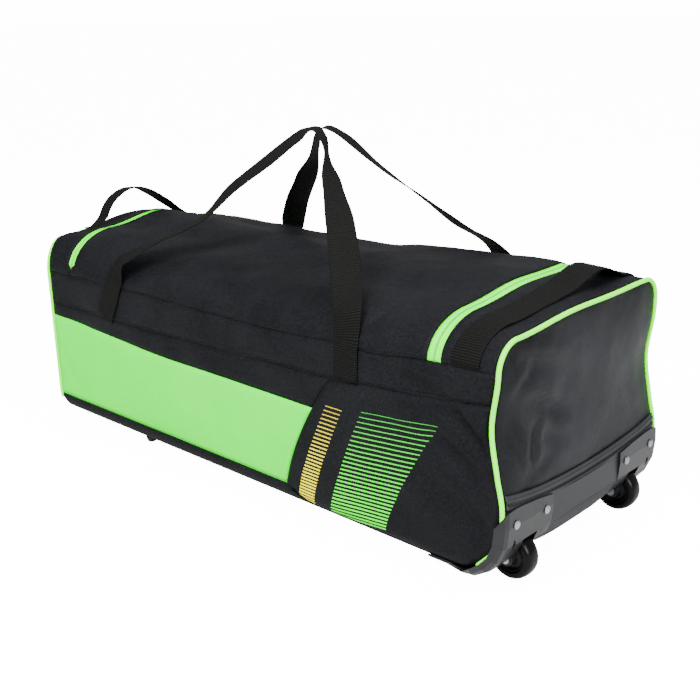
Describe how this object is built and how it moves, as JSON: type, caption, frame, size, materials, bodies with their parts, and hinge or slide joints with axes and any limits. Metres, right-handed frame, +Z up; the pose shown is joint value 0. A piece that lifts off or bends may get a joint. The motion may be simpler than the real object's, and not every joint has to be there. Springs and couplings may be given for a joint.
{
  "type": "wheeled kit bag",
  "caption": "Wheeled soft duffle bag for cricket kit, with a zipped lid, webbing carry handles, grab handles at both ends, and wheels in moulded corner housings.",
  "frame": {"origin": "on the floor under the middle of the bag's outer box", "axes": "+X towards the wheel end, -Y towards the side with the coloured panel, +Z up"},
  "size_m": [0.928, 0.375, 0.4963],
  "materials": {
    "black_cloth": "coated woven polyester with a soft sheen",
    "lime_cloth": "dyed coated woven polyester",
    "lime_trim": "woven zip tape and satin piping",
    "webbing": "ribbed polypropylene webbing",
    "kick_rubber": "ribbed rubber sheet",
    "moulded_plastic": "moulded, satin",
    "wheel_tyre": "polished polyurethane",
    "wheel_hub": "moulded, plain",
    "steel": "bright plated"
  },
  "bodies": {
    "bag": {"side_panel_lime": "lime_cloth", "side_panel_near": "black_cloth", "side_panel_print": "black_cloth", "side_band_near": "black_cloth", "side_panel_far": "black_cloth", "side_band_far": "black_cloth", "base_panel": "black_cloth", "lid": "black_cloth", "gusset_wheel_end": "black_cloth", "gusset_pull_end": "black_cloth", "zip": "lime_trim", "piping_wheel_end": "lime_trim", "piping_pull_end": "lime_trim", "end_panel_wheel": "black_cloth", "end_panel_pull": "black_cloth", "kick_panel_wheel_end": "kick_rubber", "kick_hem_wheel_end": "black_cloth", "kick_panel_pull_end": "kick_rubber", "carry_handle_near": "webbing", "carry_handle_far": "webbing", "grab_handle_pull_end": "webbing", "grab_handle_wheel_end": "webbing", "zip_slider": "steel", "wheel_housing_near": "moulded_plastic", "rivet_inner_near": "steel", "rivet_outer_near": "steel", "axle_near": "steel", "foot_near": "moulded_plastic", "wheel_housing_far": "moulded_plastic", "rivet_inner_far": "steel", "rivet_outer_far": "steel", "axle_far": "steel", "foot_far": "moulded_plastic"},
    "wheel_near": {"tyre_near": "wheel_tyre", "hub_near": "wheel_hub"},
    "wheel_far": {"tyre_far": "wheel_tyre", "hub_far": "wheel_hub"}
  },
  "joints": [
    {"name": "wheel_near_spin", "type": "hinge", "parent": "bag", "child": "wheel_near", "pos_m": [0.434, -0.12387, 0.03], "axis": [0, 1, 0], "continuous": true},
    {"name": "wheel_far_spin", "type": "hinge", "parent": "bag", "child": "wheel_far", "pos_m": [0.434, 0.11813, 0.03], "axis": [0, 1, 0], "continuous": true}
  ]
}
